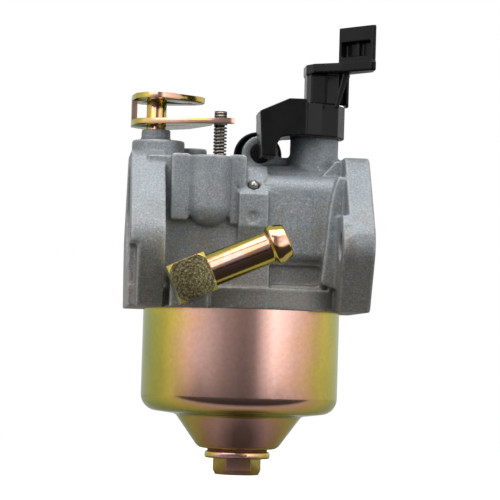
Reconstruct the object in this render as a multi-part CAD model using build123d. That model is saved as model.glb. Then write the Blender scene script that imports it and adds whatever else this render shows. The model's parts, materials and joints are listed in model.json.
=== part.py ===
from build123d import *
import math
import os

# Small float-bowl carburetor, in millimetres. The origin is the centre of the throttle bore on the
# engine-side flange face. +X runs along the bore to the air filter, +Z is up, and the fuel inlet is on
# the -Y side. Every function below returns one piece in its assembled place.

# Driving dimensions
SCREW_GAP = 0.05
SLIDE_GAP = 0.08

FLANGE_TO_FLANGE = 56.7
ENGINE_FLANGE = 8.0
AIR_FLANGE = 6.0
AIR_EAR = 7.6
EAR_TOP = 0.4
STUD_Y = 21.0
STUD_Z = -6.8
STUD_HOLE = 3.3
EAR_R = 7.0
SHOULDER_Y = 9.5
SHOULDER_Z = 10.5
SHOULDER_R = 4.5
FLANGE_FOOT_Y = 20.0
FLANGE_FOOT_R = 1.0

REGISTER_R = 11.75
REGISTER_DEEP = 2.0
THROTTLE_BORE = 9.75
THROAT = 7.25
THROAT_START = 23.0
THROAT_END = 28.0
CHOKE_BORE = 10.8
BELL_R = 13.0

SHAFT_R = 2.4
SHAFT_FOOT = -13.0
THROTTLE_X = 6.1
CHOKE_X = 44.5
THROTTLE_BOSS_X = 6.75
THROTTLE_BOSS_R = 6.35
THROTTLE_BOSS_TOP = 18.2
NECK_R = 3.5
NECK_TOP = 20.8
SEAL_R = 2.95
SEAL_BASE = 19.6
CHOKE_BOSS_R = 5.85
CHOKE_BOSS_TOP = 20.3
IDLE_TILT = 8.0
PLATE_THICK = 1.0

BLOCK_HALF = 14.0
BLOCK_TOP = 13.9
BLOCK_END = 33.2
BARREL_R = 13.2
RIM_TOP = -17.0

BOWL_X = 28.0
RIM_R = 24.75
RIM_BOTTOM = -22.05
BOWL_R = 23.6
BOWL_SHEET = 0.8
BOWL_EDGE = -20.0
BOWL_FLOOR = -55.2
COLUMN_R = 5.5
COLUMN_BORE = 4.0
GROOVE_IN = 22.5
GROOVE_OUT = 23.8
GROOVE_TOP = -18.4
UNDER_R = 21.3
UNDER_TOP = -19.0

INLET_X = 14.0
INLET_Z = -15.6
INLET_TILT = 23.5
ELBOW_BACK = -27.0
ELBOW_FRONT = -36.0
ELBOW_SIDE = 9.2
ELBOW_FACE_R = 5.4
HOSE_R = 3.8
HOSE_BORE = 2.0
TUBE_Y = -31.0
TUBE_RUN = 19.2
BARB_LONG = 4.6
BARB_R = 4.75
HOSE_WALL = 0.8

HINGE_X = 9.0
HINGE_Z = -24.0
PIN_R = 0.95
NEEDLE_X = 14.0
FLOAT_DROP = 8.0
FLOAT_R = 19.5
FLOAT_TOP = -29.0
FLOAT_BASE = -39.0
NEEDLE_R = 1.3

PILOT_X = 15.6
PILOT_Y = 9.2

IDLE_X = 21.1
IDLE_Y = -8.0
IDLE_R = 1.05
IDLE_HEAD_R = 1.5
IDLE_HEAD_BASE = 22.2
IDLE_HEAD_TOP = 25.1
SPRING_R = 1.65
SPRING_WIRE = 0.45

SHEET = 1.3
LOWER_PLATE = 22.0
UPPER_PLATE = 28.0
RIVET_TOP = 29.7

LUG_X = 31.6
LUG_Z = 16.2
LUG_HOLE = 2.4
LUG_R = 4.35
LUG_FRONT = 1.0
LUG_BACK = 4.5


# Shape helpers
def box(x, y, z):
    centre = [(low + high) / 2 for low, high in (x, y, z)]
    size = [high - low for low, high in (x, y, z)]
    return Pos(*centre) * Box(*size)


def round_box(x, y, z, radius, axis):
    block = box(x, y, z)
    return fillet(block.edges().filter_by(axis), radius)


def rod_x(radius, x, y=0.0, z=0.0):
    return Pos(sum(x) / 2, y, z) * Rot(0, 90, 0) * Cylinder(radius, x[1] - x[0])


def rod_y(radius, y, x=0.0, z=0.0):
    return Pos(x, sum(y) / 2, z) * Rot(90, 0, 0) * Cylinder(radius, y[1] - y[0])


def rod_z(radius, z, x=0.0, y=0.0):
    return Pos(x, y, sum(z) / 2) * Cylinder(radius, z[1] - z[0])


def ring_z(outer, inner, z, x=0.0, y=0.0):
    return rod_z(outer, z, x, y) - rod_z(inner, z, x, y)


def turned_z(profile, x=0.0, y=0.0):
    """Revolve (radius, height) points about a vertical axis."""
    points = [(radius, 0, height) for radius, height in profile]
    return Pos(x, y, 0) * revolve(make_face(Polyline(*points, close=True)), Axis.Z)


def turned_x(profile):
    """Revolve (x, radius) points about the bore axis."""
    points = [(along, radius, 0) for along, radius in profile]
    return revolve(make_face(Polyline(*points, close=True)), Axis.X)


def plan_plate(points, bottom, top):
    """A flat plate with its outline given in plan."""
    face = make_face(Polyline(*points, close=True))
    return Pos(0, 0, bottom) * extrude(face, top - bottom, dir=(0, 0, 1))


def side_plate(points, y):
    """A plate with its outline given in X and Z, between two Y planes."""
    face = make_face(Polyline(*[(x, y[0], z) for x, z in points], close=True))
    return extrude(face, y[1] - y[0], dir=(0, 1, 0))


def end_plate(points, x):
    """A plate with its outline given in Y and Z, between two X planes."""
    face = make_face(Polyline(*[(x[0], y, z) for y, z in points], close=True))
    return extrude(face, x[1] - x[0], dir=(1, 0, 0))


# Cast body
def flange(x):
    circles = Sketch()
    for side in (-1, 1):
        circles += Pos(side * STUD_Y, STUD_Z) * Circle(EAR_R)
        circles += Pos(side * SHOULDER_Y, SHOULDER_Z) * Circle(SHOULDER_R)
        circles += Pos(side * FLANGE_FOOT_Y, RIM_BOTTOM + FLANGE_FOOT_R) * Circle(FLANGE_FOOT_R)
    outline = make_hull(circles.edges())
    plate = Pos(x[0], 0, 0) * extrude(Plane.YZ * outline, x[1] - x[0])
    for side in (-1, 1):
        plate -= rod_x(STUD_HOLE, x, side * STUD_Y, STUD_Z)
    return plate


def air_flange():
    """The air-side flange: a plate, thicker from the stud ears down, relieved beside the fuel hose."""
    plate = flange((FLANGE_TO_FLANGE - AIR_FLANGE, FLANGE_TO_FLANGE))
    ears = flange((FLANGE_TO_FLANGE - AIR_EAR, FLANGE_TO_FLANGE))
    ears &= box((0.0, FLANGE_TO_FLANGE), (-30.0, 30.0), (RIM_BOTTOM, EAR_TOP))
    hose_path = along_tube(rod_z(BARB_R + HOSE_WALL, (TUBE_RUN, 3 * TUBE_RUN)), 0.0)
    return plate + ears - hose_path


def front_bosses():
    """Pads, the mixture-screw half round and the drilled corner on the inlet side."""
    pads = round_box((9.4, 13.6), (-17.0, -10.0), (-1.5, 14.2), 0.6, Axis.Y)
    half_round = rod_z(5.0, (-2.6, 13.8), 18.4, -15.6)
    pads += fillet(half_round.edges().group_by(Axis.Z)[0], 4.6)
    pads += round_box((23.2, 27.2), (-15.0, -10.0), (7.0, 14.4), 0.5, Axis.Y)
    pads += box((23.4, 24.9), (-15.0, -10.0), (-2.0, 7.5))
    corner = [(-8.0, 12.6), (-9.6, 12.0), (-16.0, 5.2), (-16.0, -2.4), (-13.6, -9.0), (-8.0, -9.0)]
    pads += end_plate(corner, (25.5, 32.5))
    return pads


def inlet_boss():
    boss = rod_y(4.5, (ELBOW_BACK, -12.0), INLET_X, INLET_Z)
    boss += box((9.5, 18.5), (-24.2, -12.0), (RIM_BOTTOM, INLET_Z))
    return boss


def rear_lug():
    plate = box((LUG_X, 38.7), (LUG_FRONT, LUG_BACK), (8.0, 15.4))
    plate += rod_y(LUG_R, (LUG_FRONT, LUG_BACK), LUG_X, LUG_Z)
    plate += box((LUG_X - LUG_R, LUG_X), (LUG_FRONT, LUG_BACK), (8.0, LUG_Z))
    return plate


def flange_ribs():
    """Stiffening webs where the air-side flange meets the barrel and the choke boss."""
    web = [(48.9, 10.0), (49.8, 10.0), (49.8, -17.0), (45.3, -15.4), (45.7, -12.0), (46.5, -4.0),
           (46.9, 2.0), (47.8, 7.0)]
    ribs = side_plate(web, (-15.8, 15.8))
    for y in (-9.2, -4.6, 5.4):
        ribs += side_plate([(45.0, 8.0), (50.0, 8.0), (50.0, 14.2), (48.9, 14.2), (45.0, 9.8)], (y, y + 1.6))
    return ribs


def body_outside():
    shell = flange((0.0, ENGINE_FLANGE))
    shell += air_flange()
    shell += rod_x(BARREL_R, (4.0, 50.0))
    shell += box((4.0, 27.2), (-BLOCK_HALF, 7.5), (RIM_TOP, BLOCK_TOP))
    shell += box((4.0, 24.0), (7.0, BLOCK_HALF), (RIM_TOP, 12.0))
    shell += box((27.0, BLOCK_END), (-BLOCK_HALF, BLOCK_HALF), (RIM_TOP, 8.0))
    barrel = box((BLOCK_END - 1.0, 50.0), (-14.5, 14.5), (-10.2, 10.05))
    long_edges = barrel.edges().filter_by(Axis.X)
    barrel = fillet(long_edges.group_by(Axis.Z)[-1], 4.0)
    shell += fillet(barrel.edges().filter_by(Axis.X).group_by(Axis.Z)[0], 1.8)
    shell += round_box((4.0, 47.5), (-12.6, 12.6), (RIM_TOP - 1.0, -8.0), 1.5, Axis.Z)
    shell += rod_z(THROTTLE_BOSS_R, (0.0, THROTTLE_BOSS_TOP), THROTTLE_BOSS_X)
    shell += rod_z(NECK_R, (0.0, NECK_TOP), THROTTLE_X)
    shell += rod_z(CHOKE_BOSS_R, (0.0, CHOKE_BOSS_TOP), CHOKE_X)
    shell += rod_z(3.5, (0.0, 17.3), PILOT_X, PILOT_Y)
    shell += rod_z(RIM_R, (RIM_BOTTOM, RIM_TOP), BOWL_X)
    return shell + front_bosses() + inlet_boss() + rear_lug() + flange_ribs()


def bore_space():
    profile = [
        (-1.0, 0.0),
        (-1.0, REGISTER_R),
        (REGISTER_DEEP, REGISTER_R),
        (REGISTER_DEEP, THROTTLE_BORE),
        (14.0, THROTTLE_BORE),
        (THROAT_START, THROAT),
        (THROAT_END, THROAT),
        (36.5, CHOKE_BORE),
        (51.0, CHOKE_BORE),
        (FLANGE_TO_FLANGE, BELL_R),
        (FLANGE_TO_FLANGE + 1.0, BELL_R),
        (FLANGE_TO_FLANGE + 1.0, 0.0),
    ]
    return turned_x(profile)


def under_fittings():
    """Central column, float hinge posts and needle boss, which hang inside the bowl."""
    hung = rod_z(COLUMN_R, (BOWL_FLOOR + BOWL_SHEET + 0.1, UNDER_TOP + 1.0), BOWL_X)
    hung += rod_z(4.6, (-21.6, UNDER_TOP + 1.0), NEEDLE_X)
    for side in (-1, 1):
        y = sorted((side * 4.7, side * 6.9))
        hung += box((HINGE_X - 1.9, HINGE_X + 1.9), y, (HINGE_Z - 2.0, UNDER_TOP + 1.0))
    return hung


def drillings():
    holes = rod_z(SHAFT_R + SCREW_GAP, (SHAFT_FOOT - 0.3, NECK_TOP + 1.0), THROTTLE_X)
    holes += rod_z(SEAL_R, (SEAL_BASE, NECK_TOP + 1.0), THROTTLE_X)
    holes += rod_z(SHAFT_R + SCREW_GAP, (SHAFT_FOOT - 0.3, CHOKE_BOSS_TOP + 1.0), CHOKE_X)
    holes += rod_z(COLUMN_BORE, (BOWL_FLOOR - 1.0, -43.0), BOWL_X)
    holes += rod_z(2.5, (-43.5, -5.0), BOWL_X)
    holes += rod_x(1.2, (BOWL_X - COLUMN_R - 1.0, BOWL_X), 0.0, -41.2)
    holes += rod_z(3.0, (-22.0, -16.4), NEEDLE_X)
    holes += rod_z(1.0, (-16.5, INLET_Z), NEEDLE_X)
    holes += rod_y(1.2, (-24.0, 1.0), INLET_X, INLET_Z)
    holes += rod_y(3.1, (ELBOW_BACK - 1.0, -22.0), INLET_X, INLET_Z)
    holes += rod_y(PIN_R, (-7.5, 7.5), HINGE_X, HINGE_Z)
    holes += rod_z(IDLE_R + SCREW_GAP, (5.2, BLOCK_TOP + 1.0), IDLE_X, IDLE_Y)
    holes += rod_z(2.5, (8.2, 18.0), PILOT_X, PILOT_Y)
    holes += Pos(29.0, -13.8, 7.54) * Rot(46.7, 0, 0) * Cylinder(1.5, 3.0)
    holes += rod_y(1.6, (-16.5, -15.6), 29.0, -0.4)
    for side in (-1, 1):
        holes += rod_x(1.1, (52.4, 57.0), side * 7.6, -12.6)
    holes += rod_y(LUG_HOLE, (LUG_FRONT - 1.0, LUG_BACK + 1.0), LUG_X, LUG_Z)
    return holes


def carb_body():
    casting = body_outside() - bore_space()
    casting -= rod_z(UNDER_R, (RIM_BOTTOM - 1.0, UNDER_TOP), BOWL_X)
    casting -= box((-1.0, 1.9), (-30.0, -14.5), (-23.0, -7.4))
    casting -= box((-1.0, 1.9), (-15.0, -13.6), (-16.8, -7.4))
    casting -= box((BLOCK_END, 42.0), (-13.0, -11.4), (-16.0, -11.2))
    casting -= round_box((38.0, 46.2), (-13.0, -11.4), (-16.0, -11.2), 2.0, Axis.Y)
    casting -= ring_z(GROOVE_OUT, GROOVE_IN, (RIM_BOTTOM - 1.0, GROOVE_TOP), BOWL_X)
    casting += under_fittings()
    return casting - drillings()


# Bowl and its fastening
def float_bowl():
    outer = [
        (8.0, BOWL_FLOOR),
        (10.4, -53.6),
        (15.0, -47.2),
        (20.2, -46.5),
        (22.6, -45.2),
        (BOWL_R, -42.6),
        (BOWL_R, BOWL_EDGE),
    ]
    inner = [
        (BOWL_R - BOWL_SHEET, BOWL_EDGE),
        (BOWL_R - BOWL_SHEET, -42.4),
        (22.0, -44.5),
        (20.0, -45.7),
        (14.6, -46.4),
        (9.8, -53.1),
        (7.6, BOWL_FLOOR + BOWL_SHEET),
        (COLUMN_BORE, BOWL_FLOOR + BOWL_SHEET),
        (COLUMN_BORE, BOWL_FLOOR),
    ]
    return turned_z(outer + inner, BOWL_X)


def bowl_gasket():
    return ring_z(GROOVE_OUT - 0.1, GROOVE_IN + 0.1, (BOWL_EDGE, GROOVE_TOP), BOWL_X)


def bowl_bolt_gasket():
    return ring_z(7.2, COLUMN_BORE, (BOWL_FLOOR - 0.6, BOWL_FLOOR), BOWL_X)


def bowl_bolt():
    top = BOWL_FLOOR - 0.6
    hex_top = -57.5
    hex_base = -61.4
    washer = rod_z(7.87, (hex_top, top), BOWL_X)
    washer = fillet(washer.edges().filter_by(GeomType.CIRCLE), 0.5)
    head = Pos(BOWL_X, 0, hex_base) * extrude(RegularPolygon(5.0, 6, major_radius=False), hex_top - hex_base)
    head &= Pos(BOWL_X, 0, hex_base) * Cone(5.2, 9.2, 8.0, align=(Align.CENTER, Align.CENTER, Align.MIN))
    shank = rod_z(COLUMN_BORE - SCREW_GAP, (top - 0.1, -44.5), BOWL_X)
    return washer + head + shank


# Fuel inlet
def along_tube(shape, start):
    """Place a shape built on +Z along the hose tube, from a distance past the block centre."""
    return Pos(INLET_X, TUBE_Y, INLET_Z) * Rot(0, 90 - INLET_TILT, 0) * Pos(0, 0, start) * shape


def fuel_inlet_elbow():
    middle = (ELBOW_BACK + ELBOW_FRONT) / 2
    cube = Box(ELBOW_SIDE, ELBOW_BACK - ELBOW_FRONT, ELBOW_SIDE)
    turned = Rot(90, 0, 0) * Cone(13.2, ELBOW_FACE_R, ELBOW_BACK - ELBOW_FRONT)
    cube = Pos(INLET_X, middle, INLET_Z) * Rot(0, -INLET_TILT, 0) * (cube & turned)
    elbow = cube + rod_y(3.1 - SCREW_GAP, (ELBOW_BACK - 0.1, -22.3), INLET_X, INLET_Z)
    elbow -= rod_y(1.6, (TUBE_Y - 1.0, -21.0), INLET_X, INLET_Z)
    elbow -= along_tube(rod_z(HOSE_R, (0.0, 9.0)), 2.4)
    return elbow - along_tube(rod_z(1.6, (0.0, 4.0)), -1.0)


def fuel_inlet_tube():
    shoulder = TUBE_RUN - 2.4
    end = shoulder + BARB_LONG
    outline = [
        (HOSE_BORE, 0.0),
        (HOSE_R, 0.0),
        (HOSE_R, shoulder),
        (BARB_R, shoulder + 0.8),
        (BARB_R, shoulder + 1.8),
        (4.05, end - 0.3),
        (3.75, end),
        (HOSE_BORE, end),
    ]
    return along_tube(turned_z(outline), 2.4)


# Fuel valve and float
def lowered(shape):
    """Swing a piece from the shut height of the float down to its hanging rest."""
    return Pos(HINGE_X, 0, HINGE_Z) * Rot(0, FLOAT_DROP, 0) * Pos(-HINGE_X, 0, -HINGE_Z) * shape


def needle_seat():
    seat = rod_z(3.0, (-21.6, -16.4), NEEDLE_X)
    seat -= rod_z(NEEDLE_R + SLIDE_GAP, (-22.0, -18.0), NEEDLE_X)
    return seat - rod_z(0.8, (-18.5, -16.0), NEEDLE_X)


def inlet_needle():
    drop = (NEEDLE_X - HINGE_X) * math.sin(math.radians(FLOAT_DROP))
    outline = [(0.0, -24.5), (0.7, -24.5), (0.7, -23.4), (NEEDLE_R, -22.9), (NEEDLE_R, -18.75),
               (0.2, -17.35), (0.0, -17.35)]
    return Pos(0, 0, -drop) * turned_z(outline, NEEDLE_X)


def float_pin():
    return rod_y(PIN_R, (-7.4, 7.4), HINGE_X, HINGE_Z)


def float_hinge():
    tang = box((HINGE_X + 1.6, 17.5), (-4.3, 4.3), (-25.6, -24.8))
    tang += box((12.0, 17.5), (-2.5, 2.5), (FLOAT_TOP, -25.5))
    for side in (-1, 1):
        y = sorted((side * 3.3, side * 4.3))
        ear = rod_y(2.0, y, HINGE_X, HINGE_Z)
        ear += box((HINGE_X, HINGE_X + 4.0), y, (-25.6, -23.2))
        tang += ear
    tang -= rod_y(PIN_R + SCREW_GAP, (-5.0, 5.0), HINGE_X, HINGE_Z)
    return lowered(tang)


def float_body():
    ring = rod_z(FLOAT_R, (FLOAT_BASE, FLOAT_TOP), BOWL_X)
    ring = fillet(ring.edges().filter_by(GeomType.CIRCLE), 1.0)
    ring -= rod_z(8.0, (FLOAT_BASE, FLOAT_TOP), BOWL_X)
    ring -= box((BOWL_X, BOWL_X + 3.0), (-8.0, 8.0), (FLOAT_BASE, FLOAT_TOP))
    ring -= rod_z(8.0, (FLOAT_BASE, FLOAT_TOP), BOWL_X + 3.0)
    return lowered(ring)


# Jets and plugs
def main_nozzle():
    tube = rod_z(2.45, (-36.5, -8.5), BOWL_X) + rod_z(1.7, (-8.6, -4.6), BOWL_X)
    tube -= rod_z(1.1, (-37.0, -4.0), BOWL_X)
    for height in (-30.0, -24.0, -18.0):
        tube -= rod_x(0.35, (BOWL_X - 3.0, BOWL_X + 3.0), 0.0, height)
    return tube


def main_jet():
    jet = rod_z(2.45, (-39.6, -36.6), BOWL_X) - rod_z(0.45, (-40.0, -36.0), BOWL_X)
    return jet - box((BOWL_X - 3.0, BOWL_X + 3.0), (-0.4, 0.4), (-40.0, -38.8))


def pilot_jet():
    jet = rod_z(2.45, (8.3, 16.3), PILOT_X, PILOT_Y)
    return jet - box((PILOT_X - 3.0, PILOT_X + 3.0), (PILOT_Y - 0.4, PILOT_Y + 0.4), (15.5, 17.0))


def passage_plug_ball():
    return Pos(29.0, -13.65, 7.4) * Sphere(1.15)


def air_jets():
    pair = Part()
    for side in (-1, 1):
        pair += rod_x(1.1, (52.4, 55.0), side * 7.6, -12.6) - rod_x(0.5, (52.0, 56.0), side * 7.6, -12.6)
    return pair


# Throttle
def about_throttle(shape):
    return Pos(THROTTLE_X, 0, 0) * Rot(0, 0, -IDLE_TILT) * shape


def plate_screws_local(height):
    """Two slotted screws along X that clamp a butterfly in its shaft."""
    pair = Part()
    for z in (-height, height):
        pair += rod_x(1.2, (-2.3, 2.46), 0.0, z) + rod_x(2.0, (2.45, 3.3), 0.0, z)
        pair -= box((2.9, 3.5), (-2.5, 2.5), (z - 0.25, z + 0.25))
    return pair


def butterfly(radius, height):
    """A disc across X with two screw holes."""
    disc = rod_x(radius, (-PLATE_THICK / 2, PLATE_THICK / 2))
    for z in (-height, height):
        disc -= rod_x(1.2 + SCREW_GAP, (-2.0, 2.0), 0.0, z)
    return disc


def slotted_shaft(top, slot_half, height):
    shaft = rod_z(SHAFT_R, (SHAFT_FOOT, top))
    half = PLATE_THICK / 2 + 0.03
    shaft -= box((-half, half), (-3.0, 3.0), (-slot_half, slot_half))
    for z in (-height, height):
        shaft -= rod_x(1.2 + SCREW_GAP, (-3.0, 3.0), 0.0, z)
    return shaft


def throttle_shaft():
    shaft = slotted_shaft(RIVET_TOP, THROTTLE_BORE, 4.4)
    step = UPPER_PLATE + SHEET
    shaft -= ring_z(SHAFT_R + 1.0, 1.9, (step, RIVET_TOP + 1.0))
    return about_throttle(shaft)


def throttle_plate():
    return about_throttle(butterfly(THROTTLE_BORE - 0.1, 4.4))


def throttle_plate_screws():
    return about_throttle(plate_screws_local(4.4))


def throttle_shaft_seal():
    return ring_z(SEAL_R, SHAFT_R + SCREW_GAP, (SEAL_BASE, NECK_TOP), THROTTLE_X)


def throttle_lever():
    lower = [(0.2, 2.0), (1.4, -3.0), (3.0, -4.8), (22.8, -12.2), (24.2, -11.8), (24.0, -10.0), (19.4, -9.7),
             (19.2, -4.0), (14.5, 7.0), (9.5, 12.0), (3.0, 12.0), (0.2, 8.0)]
    upper = [(0.2, 2.0), (1.0, -3.6), (3.2, -6.9), (5.8, -8.0), (8.0, -7.8), (16.6, -0.2), (17.8, 2.4),
             (17.6, 6.6), (15.6, 9.0), (10.0, 11.4), (3.0, 11.4), (0.2, 8.0)]
    lever = plan_plate(lower, LOWER_PLATE, LOWER_PLATE + SHEET)
    lever += plan_plate(upper, UPPER_PLATE, UPPER_PLATE + SHEET)
    lever += box((0.2, 0.2 + SHEET), (2.0, 8.0), (LOWER_PLATE, UPPER_PLATE + SHEET))
    lever -= rod_z(SHAFT_R + 0.01, (LOWER_PLATE - 1.0, UPPER_PLATE + SHEET + 1.0), THROTTLE_X)
    return lever - rod_z(1.1, (UPPER_PLATE - 1.0, UPPER_PLATE + SHEET + 1.0), 13.8, 4.6)


# Idle speed screw
def idle_speed_screw():
    screw = rod_z(IDLE_R, (8.0, IDLE_HEAD_BASE + 0.1), IDLE_X, IDLE_Y)
    screw += rod_z(IDLE_HEAD_R, (IDLE_HEAD_BASE, IDLE_HEAD_TOP), IDLE_X, IDLE_Y)
    return screw - box((IDLE_X - 2.0, IDLE_X + 2.0), (IDLE_Y - 0.25, IDLE_Y + 0.25), (24.3, 25.5))


def idle_screw_washer():
    return ring_z(SPRING_R, IDLE_R + SCREW_GAP, (IDLE_HEAD_BASE - 0.3, IDLE_HEAD_BASE), IDLE_X, IDLE_Y)


def idle_screw_spring():
    return ring_z(SPRING_R, SPRING_R - SPRING_WIRE, (BLOCK_TOP, IDLE_HEAD_BASE - 0.3), IDLE_X, IDLE_Y)


# Choke
def choke_shaft():
    return Pos(CHOKE_X, 0, 0) * Rot(0, 0, 90) * slotted_shaft(33.0, CHOKE_BORE, 4.8)


def choke_plate():
    return Pos(CHOKE_X, 0, 0) * Rot(0, 0, 90) * butterfly(CHOKE_BORE - 0.15, 4.8)


def choke_plate_screws():
    return Pos(CHOKE_X, 0, 0) * Rot(0, 0, 90) * plate_screws_local(4.8)


def choke_retainer():
    """Moulded collar on the choke boss with an arm and a foot in front of the rear lug."""
    plan = [(36.0, -11.0), (41.3, -10.6), (45.2, -9.6), (49.4, -6.6), (51.5, -2.0), (51.5, 2.0),
            (49.5, 5.4), (46.0, 7.0), (42.0, 7.0), (36.0, 0.8)]
    collar = plan_plate(plan, 19.9, 27.75)
    arm = [(30.2, 25.4), (30.9, 14.7), (34.3, 14.7), (34.5, 17.6), (35.4, 19.2), (36.6, 19.5),
           (41.5, 19.9), (41.5, 28.6), (37.2, 28.6)]
    collar += side_plate(arm, (-11.6, 0.8))
    collar += round_box((30.6, 33.4), (0.0, 4.4), (20.8, 26.4), 0.8, Axis.Y)
    collar -= rod_z(6.4, (27.75, 30.0), CHOKE_X)
    collar -= rod_z(CHOKE_BOSS_R + SCREW_GAP, (19.0, CHOKE_BOSS_TOP + SCREW_GAP), CHOKE_X)
    return collar - rod_z(SHAFT_R + 0.3, (19.0, 29.0), CHOKE_X)


def choke_lever():
    """Hub, slanting web, stop tab and the upright grip with its pocket."""
    hub = [(42.0, -3.0), (42.8, -5.8), (46.4, -6.6), (49.4, -5.2), (50.2, 0.0), (48.0, 4.0),
           (43.6, 4.8), (42.0, 3.0)]
    plate = [(41.7, -3.6), (43.2, -7.0), (49.6, -11.4), (55.6, -17.2), (56.9, -17.2), (56.9, -12.6),
             (51.6, -5.0), (52.8, 0.0), (50.0, 4.6), (43.6, 5.0), (41.7, 3.2)]
    lever = plan_plate(hub, 27.9, 35.6) + plan_plate(plate, 35.3, 37.6)
    lever += side_plate([(49.9, 35.6), (51.6, 35.6), (49.0, 26.6), (47.9, 26.6)], (-10.9, -9.9))
    lever += box((49.0, 52.5), (0.6, 2.0), (28.6, 35.6)) + box((51.7, 52.5), (-1.2, 2.0), (28.0, 35.6))
    front_left, front_right = Vector(49.0, -6.9, 0), Vector(56.0, -16.2, 0)
    along = (front_right - front_left).normalized()
    inward = Vector(-along.Y, along.X, 0)
    grip = plan_plate([(49.0, -6.9), (56.0, -16.2), (56.9, -16.2), (56.9, -12.0), (51.3, -4.8)], 37.0, 46.3)
    pocket = [front_left + along * 0.9 - inward, front_right - along * 0.8 - inward,
              front_right - along * 0.8 + inward * 2.0, front_left + along * 0.9 + inward * 2.0]
    grip -= plan_plate([(point.X, point.Y) for point in pocket], 39.2, 42.7)
    rib = [front_left + along * 5.4 + inward * 0.7, front_left + along * 6.3 + inward * 0.7,
           front_left + along * 6.3 + inward * 2.2, front_left + along * 5.4 + inward * 2.2]
    grip += plan_plate([(point.X, point.Y) for point in rib], 39.0, 43.0)
    return lever + grip - rod_z(SHAFT_R + 0.01, (26.0, 33.0), CHOKE_X)


def vent_fitting():
    """Plastic nipple pushed through the rear lug, with a dished flange behind it."""
    fitting = rod_y(LUG_HOLE - SCREW_GAP, (1.4, 10.0), LUG_X, LUG_Z)
    fitting += rod_y(5.9, (8.8, 11.2), LUG_X, LUG_Z) - rod_y(5.1, (8.0, 10.0), LUG_X, LUG_Z)
    fitting += rod_y(LUG_HOLE - SCREW_GAP, (8.0, 10.5), LUG_X, LUG_Z)
    fitting += rod_y(2.6, (11.0, 19.0), LUG_X, LUG_Z)
    return fitting - rod_y(1.3, (6.0, 20.0), LUG_X, LUG_Z)


PIECES = (
    carb_body, float_bowl, bowl_gasket, bowl_bolt_gasket, bowl_bolt,
    fuel_inlet_elbow, fuel_inlet_tube, needle_seat, inlet_needle, float_pin, float_hinge, float_body,
    main_nozzle, main_jet, pilot_jet, passage_plug_ball, air_jets,
    throttle_shaft, throttle_plate, throttle_plate_screws, throttle_shaft_seal, throttle_lever,
    idle_speed_screw, idle_screw_washer, idle_screw_spring,
    choke_shaft, choke_plate, choke_plate_screws, choke_retainer, choke_lever, vent_fitting,
)

os.makedirs("parts", exist_ok=True)
for piece in PIECES:
    export_step(piece(), f"parts/{piece.__name__}.step")
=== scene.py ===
import json
import math

import bmesh
import bpy
from mathutils import Matrix, Vector


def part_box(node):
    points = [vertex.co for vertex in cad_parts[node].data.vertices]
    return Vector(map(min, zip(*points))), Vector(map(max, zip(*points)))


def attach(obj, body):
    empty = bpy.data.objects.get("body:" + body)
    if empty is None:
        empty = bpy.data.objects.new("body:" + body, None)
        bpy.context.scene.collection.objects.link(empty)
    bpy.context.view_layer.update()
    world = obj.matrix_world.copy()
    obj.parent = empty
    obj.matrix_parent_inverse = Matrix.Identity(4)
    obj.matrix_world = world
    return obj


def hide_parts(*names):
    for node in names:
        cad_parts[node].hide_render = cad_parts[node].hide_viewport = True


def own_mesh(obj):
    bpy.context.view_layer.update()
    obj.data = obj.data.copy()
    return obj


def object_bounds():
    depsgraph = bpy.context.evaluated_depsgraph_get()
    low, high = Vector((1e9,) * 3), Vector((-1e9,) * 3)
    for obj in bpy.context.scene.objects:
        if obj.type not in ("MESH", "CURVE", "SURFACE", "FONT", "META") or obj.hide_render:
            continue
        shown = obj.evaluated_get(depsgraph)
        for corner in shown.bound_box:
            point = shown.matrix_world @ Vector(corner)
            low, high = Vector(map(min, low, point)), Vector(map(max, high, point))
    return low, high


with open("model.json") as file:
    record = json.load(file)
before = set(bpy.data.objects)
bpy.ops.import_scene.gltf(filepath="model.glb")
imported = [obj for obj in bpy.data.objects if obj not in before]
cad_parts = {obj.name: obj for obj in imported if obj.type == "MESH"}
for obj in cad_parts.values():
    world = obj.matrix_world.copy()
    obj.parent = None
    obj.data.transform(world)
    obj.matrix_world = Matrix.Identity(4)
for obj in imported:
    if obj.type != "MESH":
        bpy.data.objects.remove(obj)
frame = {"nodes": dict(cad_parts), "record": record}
CAD_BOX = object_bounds()
NODES = frame["nodes"]
MM = 0.001

# Light of the room by bearing (the viewer is at 0.5, the engine side at 0.25) and by height
ROOM_LIGHT = 1.0
ROOM_AROUND = [
    (0.0, 0.7), (0.20, 0.65), (0.31, 1.15), (0.38, 0.85), (0.44, 0.42), (0.50, 0.26),
    (0.535, 0.36), (0.565, 1.2), (0.60, 2.1), (0.67, 1.25), (0.76, 0.8), (1.0, 0.7),
]
ROOM_UPWARD = [(0.0, 0.01), (0.40, 0.015), (0.478, 0.8), (0.53, 1.0), (0.75, 0.75), (1.0, 0.8)]
FRONT_LIGHT = 2.8
TOP_LIGHT = 4.0

# The plate under the object: its half width, the centre of the shadow painted on it, and where its
# painted dark front, which stands in for shade in reflections, ends and its pale part starts
FLOOR_HALF = 0.2
SHADOW_X = 0.029
SHADOW_Y = -0.013
FLOOR_DARK_Y = -0.037
FLOOR_LIT_Y = -0.028

# Sizes that the CAD boxes don't give
BOWL_SHEET = 0.8 * MM
SPRING_WIRE_R = 0.25 * MM
SPRING_TURNS = 9.6
THREAD_PITCH = 0.7 * MM
FACE_R = 5.4 * MM
FACE_RING_PITCH = 0.95 * MM

# Places that the frame gives
BOWL_LOW, BOWL_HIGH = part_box("float_bowl")
BOWL_AXIS = (BOWL_LOW + BOWL_HIGH) / 2
SPRING_LOW, SPRING_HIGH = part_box("idle_screw_spring")
SPRING_AXIS = (SPRING_LOW + SPRING_HIGH) / 2
ELBOW_LOW, ELBOW_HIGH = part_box("fuel_inlet_elbow")
ELBOW_AXIS = (ELBOW_LOW + ELBOW_HIGH) / 2


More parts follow.
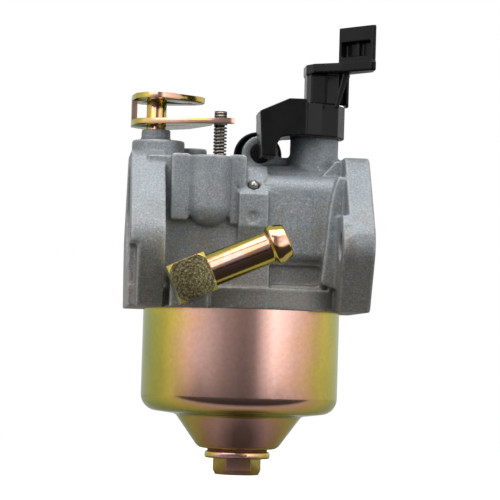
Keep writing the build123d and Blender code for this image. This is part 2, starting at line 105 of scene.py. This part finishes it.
# Mesh helpers
def new_object(name, mesh):
    obj = bpy.data.objects.new(name, mesh)
    bpy.context.scene.collection.objects.link(obj)
    return obj


def baked(obj):
    """Apply the modifiers of a piece and keep the result as its own mesh."""
    graph = bpy.context.evaluated_depsgraph_get()
    mesh = bpy.data.meshes.new_from_object(obj.evaluated_get(graph))
    obj.modifiers.clear()
    obj.data = mesh
    return obj


def copied(node, name):
    obj = new_object(name, NODES[node].data.copy())
    obj.data.materials.clear()
    return obj


def smooth_faces(obj, angle=None):
    for face in obj.data.polygons:
        face.use_smooth = True
    if angle is not None:
        obj.data.set_sharp_from_angle(angle=math.radians(angle))


def remeshed(node, name, voxel, rounds):
    """A voxel remesh of a CAD node with its edges softened, for cast and moulded pieces."""
    obj = copied(node, name)
    cells = obj.modifiers.new("cells", "REMESH")
    cells.mode = "VOXEL"
    cells.voxel_size = voxel
    soften = obj.modifiers.new("soften", "SMOOTH")
    soften.factor = 0.5
    soften.iterations = rounds
    baked(obj)
    smooth_faces(obj)
    return obj


def softened(node, name, width, steps=3, limit=38):
    """A copy of a CAD node with its hard edges rounded."""
    obj = copied(node, name)
    shape = bmesh.new()
    shape.from_mesh(obj.data)
    bmesh.ops.remove_doubles(shape, verts=shape.verts, dist=0.002 * MM)
    flat = math.radians(0.6)
    bmesh.ops.dissolve_limit(shape, angle_limit=flat, verts=shape.verts, edges=shape.edges)
    shape.to_mesh(obj.data)
    shape.free()
    rounding = obj.modifiers.new("rounding", "BEVEL")
    rounding.width = width
    rounding.segments = steps
    rounding.limit_method = "ANGLE"
    rounding.angle_limit = math.radians(limit)
    rounding.harden_normals = False
    baked(obj)
    smooth_faces(obj, 34)
    return obj


def rounded_line(corners, steps=8):
    """Points along (radius, height, corner radius) corners, with every corner turned into an arc."""
    points = [Vector(corners[0][:2])]
    for before, here, after in zip(corners, corners[1:], corners[2:]):
        corner = Vector(here[:2])
        back = (Vector(before[:2]) - corner).normalized()
        onward = (Vector(after[:2]) - corner).normalized()
        half = back.angle(onward) / 2
        reach = here[2] / math.tan(half)
        centre = corner + (back + onward).normalized() * here[2] / math.sin(half)
        start = corner + back * reach - centre
        end = corner + onward * reach - centre
        for k in range(steps + 1):
            points.append(centre + start.slerp(end, k / steps).normalized() * here[2])
    points.append(Vector(corners[-1][:2]))
    return [(point.x, point.y) for point in points]


def finish_piece(obj, body, slot, material, *nodes):
    obj.data.materials.clear()
    obj.data.materials.append(material)
    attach(obj, body)
    if nodes:
        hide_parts(*nodes)
    return obj


def lathe(name, profile, centre, steps=128):
    """Turn (radius, height) points about a vertical axis through centre."""
    mesh = bpy.data.meshes.new(name)
    shape = bmesh.new()
    rings = []
    for radius, height in profile:
        ring = []
        for k in range(steps):
            a = 2 * math.pi * k / steps
            x = centre.x + radius * math.cos(a)
            y = centre.y + radius * math.sin(a)
            ring.append(shape.verts.new((x, y, height)))
        rings.append(ring)
    for low, high in zip(rings, rings[1:] + rings[:1]):
        for k in range(steps):
            shape.faces.new((low[k], low[(k + 1) % steps], high[(k + 1) % steps], high[k]))
    bmesh.ops.recalc_face_normals(shape, faces=shape.faces)
    shape.to_mesh(mesh)
    shape.free()
    obj = new_object(name, mesh)
    smooth_faces(obj, 40)
    return obj


# Material helpers
class Nodes:
    """Short calls for building one material's node tree."""

    def __init__(self, name):
        self.material = bpy.data.materials.new(name)
        self.material.use_nodes = True
        self.tree = self.material.node_tree
        self.tree.nodes.clear()
        self.shader = self.add("ShaderNodeBsdfPrincipled")
        output = self.add("ShaderNodeOutputMaterial")
        self.join(self.shader, "BSDF", output, "Surface")
        self.place = self.add("ShaderNodeTexCoord")

    def add(self, kind, **settings):
        node = self.tree.nodes.new(kind)
        for key, value in settings.items():
            setattr(node, key, value)
        return node

    def join(self, source, out, target, into):
        self.tree.links.new(source.outputs[out], target.inputs[into])

    def noise(self, scale, detail=4.0, rough=0.5, distortion=0.0, stretch=None):
        node = self.add("ShaderNodeTexNoise")
        node.inputs["Scale"].default_value = scale
        node.inputs["Detail"].default_value = detail
        node.inputs["Roughness"].default_value = rough
        node.inputs["Distortion"].default_value = distortion
        if stretch:
            mapping = self.add("ShaderNodeMapping")
            mapping.inputs["Scale"].default_value = stretch
            self.join(self.place, "Object", mapping, "Vector")
            self.join(mapping, "Vector", node, "Vector")
        else:
            self.join(self.place, "Object", node, "Vector")
        return node

    def ramp(self, source, out, stops):
        node = self.add("ShaderNodeValToRGB")
        ramp = node.color_ramp
        while len(ramp.elements) < len(stops):
            ramp.elements.new(0.5)
        for element, (position, colour) in zip(ramp.elements, stops):
            element.position = position
            element.color = (*colour, 1.0)
        self.join(source, out, node, "Fac")
        return node

    def span(self, source, out, low, high, to_low, to_high):
        node = self.add("ShaderNodeMapRange")
        node.inputs["From Min"].default_value = low
        node.inputs["From Max"].default_value = high
        node.inputs["To Min"].default_value = to_low
        node.inputs["To Max"].default_value = to_high
        self.join(source, out, node, "Value")
        return node

    def mix(self, factor, first, second, blend="MIX"):
        node = self.add("ShaderNodeMix", data_type="RGBA", blend_type=blend)
        self._feed(node.inputs[0], factor)
        self._feed(node.inputs[6], first)
        self._feed(node.inputs[7], second)
        return node

    def _feed(self, socket, value):
        if isinstance(value, tuple) and hasattr(value[0], "outputs"):
            self.tree.links.new(value[0].outputs[value[1]], socket)
        elif isinstance(value, tuple):
            socket.default_value = (*value, 1.0)
        else:
            socket.default_value = value

    def bump(self, source, out, strength, distance, below=None):
        node = self.add("ShaderNodeBump")
        node.inputs["Strength"].default_value = strength
        node.inputs["Distance"].default_value = distance
        self.join(source, out, node, "Height")
        if below:
            self.join(below, "Normal", node, "Normal")
        return node

    def set(self, **values):
        for key, value in values.items():
            self.shader.inputs[key.replace("_", " ")].default_value = value


def cast_zinc():
    """Cold grey casting with light and dark specks, worn edges, browner towards the bowl rim, and
    painted shade darkening its hollows.
    """
    m = Nodes("cast_zinc")
    cloud = m.noise(70.0, 5.0, 0.6)
    grain = m.noise(2300.0, 3.0, 0.75)
    stain_noise = m.noise(210.0, 6.0, 0.7)
    base = m.ramp(cloud, "Fac", [(0.32, (0.232, 0.262, 0.288)), (0.68, (0.318, 0.345, 0.370))])
    height = m.add("ShaderNodeSeparateXYZ")
    m.join(m.place, "Object", height, "Vector")
    low = m.span(height, "Z", -19.0 * MM, 8.0 * MM, 0.34, -0.04)
    stain = m.add("ShaderNodeMath", operation="ADD")
    m.join(stain_noise, "Fac", stain, 0)
    m.join(low, "Result", stain, 1)
    amount = m.ramp(stain, "Value", [(0.52, (0.0, 0.0, 0.0)), (0.80, (0.85, 0.85, 0.85))])
    tinted = m.mix((amount, "Color"), (base, "Color"), (0.262, 0.243, 0.212))
    speck = m.ramp(grain, "Fac", [
        (0.30, (0.62, 0.62, 0.63)),
        (0.5, (1.0, 1.0, 1.0)),
        (0.64, (1.26, 1.24, 1.20)),
        (0.71, (2.3, 2.25, 2.1)),
    ])
    colour = m.mix(1.0, (tinted, 2), (speck, "Color"), "MULTIPLY")
    shape = m.add("ShaderNodeNewGeometry")
    edge = m.span(shape, "Pointiness", 0.507, 0.56, 0.0, 0.9)
    broken = m.noise(900.0, 4.0, 0.7)
    patches = m.span(broken, "Fac", 0.40, 0.56, 0.15, 1.0)
    worn = m.add("ShaderNodeMath", operation="MULTIPLY")
    m.join(edge, "Result", worn, 0)
    m.join(patches, "Result", worn, 1)
    rubbed = m.mix((worn, "Value"), (colour, 2), (0.50, 0.50, 0.48))
    # painted shade: concave places are darkened to as little as 0.6 of their colour
    painted_hollow_shade = m.span(shape, "Pointiness", 0.42, 0.495, 0.6, 1.0)
    shaded = m.mix(1.0, (rubbed, 2), (painted_hollow_shade, "Result"), "MULTIPLY")
    m.join(shaded, 2, m.shader, "Base Color")
    rough = m.span(grain, "Fac", 0.3, 0.7, 0.42, 0.62)
    m.join(rough, "Result", m.shader, "Roughness")
    coarse = m.noise(520.0, 5.0, 0.65)
    first = m.bump(coarse, "Fac", 0.28, 0.00014)
    second = m.bump(grain, "Fac", 0.4, 0.00006, first)
    m.join(second, "Normal", m.shader, "Normal")
    m.set(Metallic=0.3)
    return m.material


def chromate(m, drift_scale, drift, lean=0.0, shift=0.0, blend=0.5):
    """Thin-film colours that run from pink and gold to green as the surface turns away."""
    facing = m.add("ShaderNodeLayerWeight")
    facing.inputs["Blend"].default_value = blend
    noise_field = m.noise(drift_scale, 2.0, 0.5, 0.4)
    moved = m.span(noise_field, "Fac", 0.3, 0.7, shift - drift, shift + drift)
    first = m.add("ShaderNodeMath", operation="ADD")
    m.join(facing, "Facing", first, 0)
    m.join(moved, "Result", first, 1)
    across = m.add("ShaderNodeSeparateXYZ")
    m.join(m.place, "Object", across, "Vector")
    side = m.span(across, "X", 5.0 * MM, 51.0 * MM, lean, -lean)
    level = m.span(across, "Z", -51.0 * MM, -44.0 * MM, -0.26, 0.0)
    second = m.add("ShaderNodeMath", operation="ADD")
    m.join(first, "Value", second, 0)
    m.join(side, "Result", second, 1)
    total = m.add("ShaderNodeMath", operation="ADD")
    m.join(second, "Value", total, 0)
    m.join(level, "Result", total, 1)
    return m.ramp(total, "Value", [
        (0.0, (0.78, 0.47, 0.40)),
        (0.10, (0.78, 0.43, 0.30)),
        (0.22, (0.74, 0.48, 0.17)),
        (0.34, (0.72, 0.57, 0.10)),
        (0.55, (0.50, 0.50, 0.09)),
        (0.8, (0.33, 0.40, 0.12)),
        (1.0, (0.36, 0.42, 0.24)),
    ])


def bowl_plate():
    m = Nodes("bowl_plate")
    colour = chromate(m, 55.0, 0.10, 0.09, -0.08)
    mottle = m.noise(900.0, 3.0, 0.6)
    dust = m.ramp(mottle, "Fac", [(0.3, (0.94, 0.94, 0.94)), (0.7, (1.05, 1.05, 1.05))])
    dusty = m.mix(1.0, (colour, "Color"), (dust, "Color"), "MULTIPLY")
    m.join(dusty, 2, m.shader, "Base Color")
    fine = m.noise(3000.0, 2.0, 0.6)
    rough = m.span(fine, "Fac", 0.3, 0.7, 0.13, 0.20)
    m.join(rough, "Result", m.shader, "Roughness")
    drawn = m.noise(120.0, 3.0, 0.6, 0.0, (1.0, 1.0, 0.08))
    normal = m.bump(drawn, "Fac", 0.10, 0.0001)
    m.join(normal, "Normal", m.shader, "Normal")
    m.set(Metallic=1.0)
    return m.material


def yellow_zinc(name, shift):
    """Small bright plated pieces with quicker colour changes than the bowl."""
    m = Nodes(name)
    colour = chromate(m, 240.0, 0.16, 0.0, shift, 0.32)
    m.join(colour, "Color", m.shader, "Base Color")
    fine = m.noise(2600.0, 3.0, 0.6)
    rough = m.span(fine, "Fac", 0.3, 0.7, 0.10, 0.20)
    m.join(rough, "Result", m.shader, "Roughness")
    normal = m.bump(fine, "Fac", 0.1, 0.00003)
    m.join(normal, "Normal", m.shader, "Normal")
    m.set(Metallic=1.0)
    return m.material


def faced_zinc():
    """The inlet block: plated like the rest, with a dark mottled turned end."""
    m = Nodes("faced_zinc")
    plated = chromate(m, 240.0, 0.16, 0.0, 0.10, 0.32)
    spot = m.add("ShaderNodeVectorMath", operation="SUBTRACT")
    m.join(m.place, "Object", spot, 0)
    spot.inputs[1].default_value = (ELBOW_AXIS.x, 0.0, ELBOW_AXIS.z)
    flat = m.add("ShaderNodeVectorMath", operation="MULTIPLY")
    m.join(spot, "Vector", flat, 0)
    flat.inputs[1].default_value = (1.0, 0.0, 1.0)
    radius = m.add("ShaderNodeVectorMath", operation="LENGTH")
    m.join(flat, "Vector", radius, 0)
    inside = m.span(radius, "Value", FACE_R - 0.1 * MM, FACE_R + 0.1 * MM, 1.0, 0.0)
    facing = m.add("ShaderNodeSeparateXYZ")
    m.join(m.place, "Normal", facing, "Vector")
    forward = m.span(facing, "Y", -0.9, -0.97, 0.0, 1.0)
    mask = m.add("ShaderNodeMath", operation="MULTIPLY")
    m.join(inside, "Result", mask, 0)
    m.join(forward, "Result", mask, 1)
    mottle = m.noise(2600.0, 4.0, 0.8)
    dark = m.ramp(mottle, "Fac", [
        (0.34, (0.05, 0.04, 0.03)),
        (0.47, (0.19, 0.15, 0.08)),
        (0.56, (0.28, 0.25, 0.11)),
        (0.68, (0.82, 0.74, 0.44)),
    ])
    ring = m.add("ShaderNodeMath", operation="SINE")
    turns = m.add("ShaderNodeMath", operation="MULTIPLY")
    m.join(radius, "Value", turns, 0)
    turns.inputs[1].default_value = 2 * math.pi / FACE_RING_PITCH
    m.join(turns, "Value", ring, 0)
    tone = m.span(ring, "Value", -1.0, 1.0, 0.76, 1.2)
    ringed = m.mix(1.0, (dark, "Color"), (tone, "Result"), "MULTIPLY")
    colour = m.mix((mask, "Value"), (plated, "Color"), (ringed, 2))
    m.join(colour, 2, m.shader, "Base Color")
    cut = m.add("ShaderNodeMath", operation="MULTIPLY")
    m.join(ring, "Value", cut, 0)
    m.join(mask, "Value", cut, 1)
    rings = m.bump(cut, "Value", 0.10, 0.00004)
    pits = m.bump(mottle, "Fac", 0.3, 0.00005, rings)
    m.join(pits, "Normal", m.shader, "Normal")
    m.set(Metallic=0.9, Roughness=0.36)
    return m.material


def black_plastic():
    m = Nodes("black_plastic")
    fine = m.noise(2400.0, 4.0, 0.65)
    broad = m.noise(160.0, 4.0, 0.6)
    colour = m.ramp(broad, "Fac", [(0.3, (0.006, 0.006, 0.007)), (0.75, (0.012, 0.012, 0.013))])
    m.join(colour, "Color", m.shader, "Base Color")
    rough = m.span(broad, "Fac", 0.3, 0.7, 0.18, 0.30)
    m.join(rough, "Result", m.shader, "Roughness")
    normal = m.bump(fine, "Fac", 0.14, 0.00003)
    m.join(normal, "Normal", m.shader, "Normal")
    m.set(Specular_IOR_Level=0.2)
    return m.material


def turned_metal(name, low, high, rough_low, rough_high):
    m = Nodes(name)
    cloud = m.noise(300.0, 4.0, 0.6)
    rings = m.noise(900.0, 3.0, 0.6, 0.0, (0.15, 0.15, 3.0))
    colour = m.ramp(cloud, "Fac", [(0.3, low), (0.7, high)])
    m.join(colour, "Color", m.shader, "Base Color")
    rough = m.span(rings, "Fac", 0.3, 0.7, rough_low, rough_high)
    m.join(rough, "Result", m.shader, "Roughness")
    normal = m.bump(rings, "Fac", 0.15, 0.00003)
    m.join(normal, "Normal", m.shader, "Normal")
    m.set(Metallic=1.0)
    return m.material


def threaded_steel():
    """Dark oiled steel with a fine thread cut round the vertical axis; its grooves are painted darker
    as shade and its crests lighter as highlight.
    """
    m = Nodes("threaded_steel")
    height = m.add("ShaderNodeSeparateXYZ")
    m.join(m.place, "Object", height, "Vector")
    turns = m.add("ShaderNodeMath", operation="MULTIPLY")
    m.join(height, "Z", turns, 0)
    turns.inputs[1].default_value = 2 * math.pi / THREAD_PITCH
    thread = m.add("ShaderNodeMath", operation="SINE")
    m.join(turns, "Value", thread, 0)
    level = m.span(thread, "Value", -1.0, 1.0, 0.0, 1.0)
    # painted shade in the thread's grooves and painted highlight on its crests, besides the bump
    colour = m.ramp(level, "Result", [(0.25, (0.05, 0.042, 0.035)), (0.7, (0.36, 0.33, 0.29))])
    m.join(colour, "Color", m.shader, "Base Color")
    normal = m.bump(level, "Result", 0.7, 0.0002)
    m.join(normal, "Normal", m.shader, "Normal")
    m.set(Metallic=1.0, Roughness=0.32)
    return m.material


def dull_solid(name, low, high, rough):
    """Rubber, fibre and moulded float plastic."""
    m = Nodes(name)
    cloud = m.noise(800.0, 5.0, 0.7)
    colour = m.ramp(cloud, "Fac", [(0.3, low), (0.7, high)])
    m.join(colour, "Color", m.shader, "Base Color")
    normal = m.bump(cloud, "Fac", 0.2, 0.00005)
    m.join(normal, "Normal", m.shader, "Normal")
    m.set(Roughness=rough)
    return m.material


MATERIALS = {
    "cast_zinc": cast_zinc(),
    "bowl_plate": bowl_plate(),
    "yellow_zinc": yellow_zinc("yellow_zinc", 0.02),
    "steel": turned_metal("steel", (0.42, 0.40, 0.37), (0.58, 0.56, 0.53), 0.25, 0.42),
    "spring_steel": turned_metal("spring_steel", (0.26, 0.23, 0.20), (0.42, 0.39, 0.35), 0.22, 0.4),
    "brass": turned_metal("brass", (0.60, 0.42, 0.17), (0.78, 0.60, 0.28), 0.22, 0.4),
    "black_plastic": black_plastic(),
    "float_plastic": dull_solid("float_plastic", (0.02, 0.02, 0.02), (0.035, 0.035, 0.035), 0.5),
    "rubber_seal": dull_solid("rubber_seal", (0.012, 0.012, 0.012), (0.03, 0.03, 0.03), 0.7),
    "fibre_washer": dull_solid("fibre_washer", (0.16, 0.05, 0.025), (0.26, 0.10, 0.05), 0.75),
}


def dress_frame():
    """Every CAD node that stays takes its slot's material."""
    slots = {s["node"]: s["material_slot"] for s in frame["record"]["subparts"]}
    for node, obj in NODES.items():
        obj.data.materials.clear()
        obj.data.materials.append(MATERIALS[slots[node]])


def cast_body():
    obj = remeshed("carb_body", "carb_casting", 0.4 * MM, 3)
    finish_piece(obj, "body", "cast_zinc", MATERIALS["cast_zinc"], "carb_body")


def moulded(node, name, body):
    obj = remeshed(node, name, 0.25 * MM, 2)
    finish_piece(obj, body, "black_plastic", MATERIALS["black_plastic"], node)


def drawn_bowl():
    """The bowl as one drawn sheet: straight wall, round corner, shoulder and cone."""
    wall = BOWL_SHEET
    outer_r = (BOWL_HIGH.x - BOWL_LOW.x) / 2
    top = BOWL_HIGH.z
    base = BOWL_LOW.z
    cone_top = base + 8.05 * MM
    shoulder = base + 9.1 * MM
    bolt_hole = 4.0 * MM
    outer = rounded_line([
        (bolt_hole, base, 0.0),
        (9.4 * MM, base, 2.2 * MM),
        (15.2 * MM, cone_top, 1.7 * MM),
        (outer_r, shoulder, 3.9 * MM),
        (outer_r, top, 0.0),
    ])
    inner = rounded_line([
        (outer_r - wall, top, 0.0),
        (outer_r - wall, shoulder + wall, 3.1 * MM),
        (14.8 * MM, cone_top + wall, 2.4 * MM),
        (8.9 * MM, base + wall, 1.4 * MM),
        (bolt_hole, base + wall, 0.0),
    ])
    obj = lathe("drawn_bowl", outer + inner, BOWL_AXIS)
    finish_piece(obj, "body", "bowl_plate", MATERIALS["bowl_plate"], "float_bowl")


def plated_pieces():
    """Plated and turned pieces keep their CAD shape with softened edges."""
    zinc = MATERIALS["yellow_zinc"]
    bolt = softened("bowl_bolt", "bowl_bolt_soft", 0.3 * MM)
    finish_piece(bolt, "body", "yellow_zinc", yellow_zinc("bolt_zinc", 0.24), "bowl_bolt")
    lever = softened("throttle_lever", "throttle_lever_soft", 0.35 * MM, 4)
    finish_piece(lever, "throttle", "yellow_zinc", zinc, "throttle_lever")
    tube = softened("fuel_inlet_tube", "fuel_inlet_tube_soft", 0.25 * MM, 3, 25)
    finish_piece(tube, "body", "yellow_zinc", zinc, "fuel_inlet_tube")
    block = softened("fuel_inlet_elbow", "fuel_inlet_elbow_soft", 0.22 * MM)
    finish_piece(block, "body", "yellow_zinc", faced_zinc(), "fuel_inlet_elbow")
    shaft = softened("throttle_shaft", "throttle_shaft_soft", 0.15 * MM, 2)
    finish_piece(shaft, "throttle", "yellow_zinc", zinc, "throttle_shaft")
    screw = softened("idle_speed_screw", "idle_speed_screw_soft", 0.2 * MM)
    finish_piece(screw, "idle_screw", "steel", threaded_steel(), "idle_speed_screw")


def idle_spring():
    wire = SPRING_WIRE_R
    turns = SPRING_TURNS
    radius = (SPRING_HIGH.x - SPRING_LOW.x) / 2 - wire
    curve = bpy.data.curves.new("idle_spring_coil", "CURVE")
    curve.dimensions = "3D"
    curve.bevel_depth = wire
    curve.bevel_resolution = 4
    curve.resolution_u = 4
    line = curve.splines.new("NURBS")
    steps = int(turns * 16)
    line.points.add(steps)
    for k in range(steps + 1):
        a = 2 * math.pi * turns * k / steps
        x = SPRING_AXIS.x + radius * math.cos(a)
        y = SPRING_AXIS.y + radius * math.sin(a)
        z = SPRING_LOW.z + wire + (SPRING_HIGH.z - SPRING_LOW.z - 2 * wire) * k / steps
        line.points[k].co = (x, y, z, 1.0)
    line.order_u = 4
    line.use_endpoint_u = True
    coil = new_object("idle_spring_curve", curve)
    graph = bpy.context.evaluated_depsgraph_get()
    mesh = bpy.data.meshes.new_from_object(coil.evaluated_get(graph))
    bpy.data.objects.remove(coil)
    obj = new_object("idle_spring_coil", mesh)
    smooth_faces(obj)
    finish_piece(obj, "body", "spring_steel", MATERIALS["spring_steel"], "idle_screw_spring")
    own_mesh(obj)


# Studio
def camera():
    """The viewpoint sits low and a little to the engine side, and the object leans in its view."""
    data = bpy.data.cameras.new("camera")
    data.lens = 179.7
    data.sensor_width = 36.0
    data.clip_start = 0.01
    data.clip_end = 20.0
    cam = new_object("camera", data)
    yaw = math.radians(4.514)
    pitch = math.radians(2.536)
    roll = math.radians(1.7)
    ahead = Vector((math.sin(yaw) * math.cos(pitch), math.cos(yaw) * math.cos(pitch), math.sin(pitch)))
    right = ahead.cross(Vector((0, 0, 1))).normalized()
    up = right.cross(ahead)
    right_rolled = math.cos(roll) * right + math.sin(roll) * up
    up_rolled = math.cos(roll) * up - math.sin(roll) * right
    turn = Matrix((right_rolled, up_rolled, -ahead)).transposed()
    place = Vector((-0.0177, -0.6, -0.034))
    cam.matrix_world = Matrix.Translation(place) @ turn.to_4x4()
    bpy.context.scene.camera = cam


def area_light(name, place, target, size, power):
    data = bpy.data.lights.new(name, "AREA")
    data.shape = "RECTANGLE"
    data.size, data.size_y = size
    data.energy = power
    lamp = new_object(name, data)
    lamp.location = place
    lamp.rotation_mode = "QUATERNION"
    lamp.rotation_quaternion = (Vector(target) - Vector(place)).to_track_quat("-Z", "Y")
    lamp.visible_camera = False


def world_light():
    """White to the eye; as light, a room with bright sides and a dark place around the viewer."""
    world = bpy.data.worlds.new("studio")
    bpy.context.scene.world = world
    world.use_nodes = True
    tree = world.node_tree
    tree.nodes.clear()

    def add(kind, **settings):
        node = tree.nodes.new(kind)
        for key, value in settings.items():
            setattr(node, key, value)
        return node

    def grey_ramp(source, low, high, stops):
        shift = add("ShaderNodeMapRange")
        shift.inputs["From Min"].default_value = low
        shift.inputs["From Max"].default_value = high
        tree.links.new(source, shift.inputs["Value"])
        ramp = add("ShaderNodeValToRGB")
        while len(ramp.color_ramp.elements) < len(stops):
            ramp.color_ramp.elements.new(0.5)
        for element, (position, level) in zip(ramp.color_ramp.elements, stops):
            element.position = position
            element.color = (level, level, level, 1.0)
        tree.links.new(shift.outputs["Result"], ramp.inputs["Fac"])
        return ramp.outputs["Color"]

    place = add("ShaderNodeTexCoord")
    parts = add("ShaderNodeSeparateXYZ")
    tree.links.new(place.outputs["Generated"], parts.inputs[0])
    forward = add("ShaderNodeMath", operation="MULTIPLY")
    tree.links.new(parts.outputs["Y"], forward.inputs[0])
    forward.inputs[1].default_value = -1.0
    bearing = add("ShaderNodeMath", operation="ARCTAN2")
    tree.links.new(parts.outputs["X"], bearing.inputs[0])
    tree.links.new(forward.outputs[0], bearing.inputs[1])
    around = grey_ramp(bearing.outputs[0], -math.pi, math.pi, ROOM_AROUND)
    upward = grey_ramp(parts.outputs["Z"], -1.0, 1.0, ROOM_UPWARD)
    both = add("ShaderNodeMix", data_type="RGBA", blend_type="MULTIPLY")
    both.inputs[0].default_value = 1.0
    tree.links.new(around, both.inputs[6])
    tree.links.new(upward, both.inputs[7])
    room = add("ShaderNodeBackground")
    room.inputs["Strength"].default_value = ROOM_LIGHT
    tree.links.new(both.outputs[2], room.inputs["Color"])
    plain = add("ShaderNodeBackground")
    plain.inputs["Color"].default_value = (1.0, 1.0, 1.0, 1.0)
    path = add("ShaderNodeLightPath")
    blend = add("ShaderNodeMixShader")
    output = add("ShaderNodeOutputWorld")
    tree.links.new(path.outputs["Is Camera Ray"], blend.inputs["Fac"])
    tree.links.new(room.outputs[0], blend.inputs[1])
    tree.links.new(plain.outputs[0], blend.inputs[2])
    tree.links.new(blend.outputs[0], output.inputs["Surface"])


def studio():
    world_light()
    middle = (BOWL_AXIS.x, 0.0, -0.01)
    area_light("front_left", (-0.55, -0.75, 0.45), middle, (0.9, 0.6), FRONT_LIGHT)
    area_light("overhead", (0.0, -0.25, 0.75), middle, (0.8, 0.5), TOP_LIGHT)
    bpy.context.scene.view_settings.view_transform = "Standard"


def floor():
    """A plate that reads as plain white; its front is painted dark and a shadow is painted under the
    object, which show only in reflections and in the light it throws back.
    """
    m = Nodes("pale_floor")
    across = m.add("ShaderNodeSeparateXYZ")
    m.join(m.place, "Object", across, "Vector")
    # painted shade: the front of the plate is almost black, so the bowl reflects darkness there
    front = m.span(across, "Y", FLOOR_DARK_Y, FLOOR_LIT_Y, 0.008, 0.40)
    # painted shadow: the plate is darkened round a spot under the object
    near = m.add("ShaderNodeVectorMath", operation="DISTANCE")
    m.join(m.place, "Object", near, 0)
    near.inputs[1].default_value = (SHADOW_X, SHADOW_Y, CAD_BOX[0].z)
    shade = m.span(near, "Value", 0.004, 0.013, 0.25, 1.0)
    colour = m.add("ShaderNodeMath", operation="MULTIPLY")
    m.join(front, "Result", colour, 0)
    m.join(shade, "Result", colour, 1)
    m.join(colour, "Value", m.shader, "Base Color")
    path = m.add("ShaderNodeLightPath")
    m.join(path, "Is Camera Ray", m.shader, "Emission Strength")
    m.shader.inputs["Emission Color"].default_value = (1.0, 1.0, 1.0, 1.0)
    m.set(Roughness=0.9)
    mesh = bpy.data.meshes.new("floor")
    low = CAD_BOX[0].z
    signs = ((-1, -1), (1, -1), (1, 1), (-1, 1))
    corners = [(FLOOR_HALF * side_x, FLOOR_HALF * side_y, low) for side_x, side_y in signs]
    mesh.from_pydata(corners, [], [(0, 1, 2, 3)])
    obj = new_object("floor", mesh)
    obj.data.materials.append(m.material)


camera()
dress_frame()
cast_body()
moulded("choke_lever", "choke_lever_moulding", "choke")
moulded("choke_retainer", "choke_retainer_moulding", "body")
moulded("vent_fitting", "vent_fitting_moulding", "body")
drawn_bowl()
plated_pieces()
idle_spring()
studio()
floor()
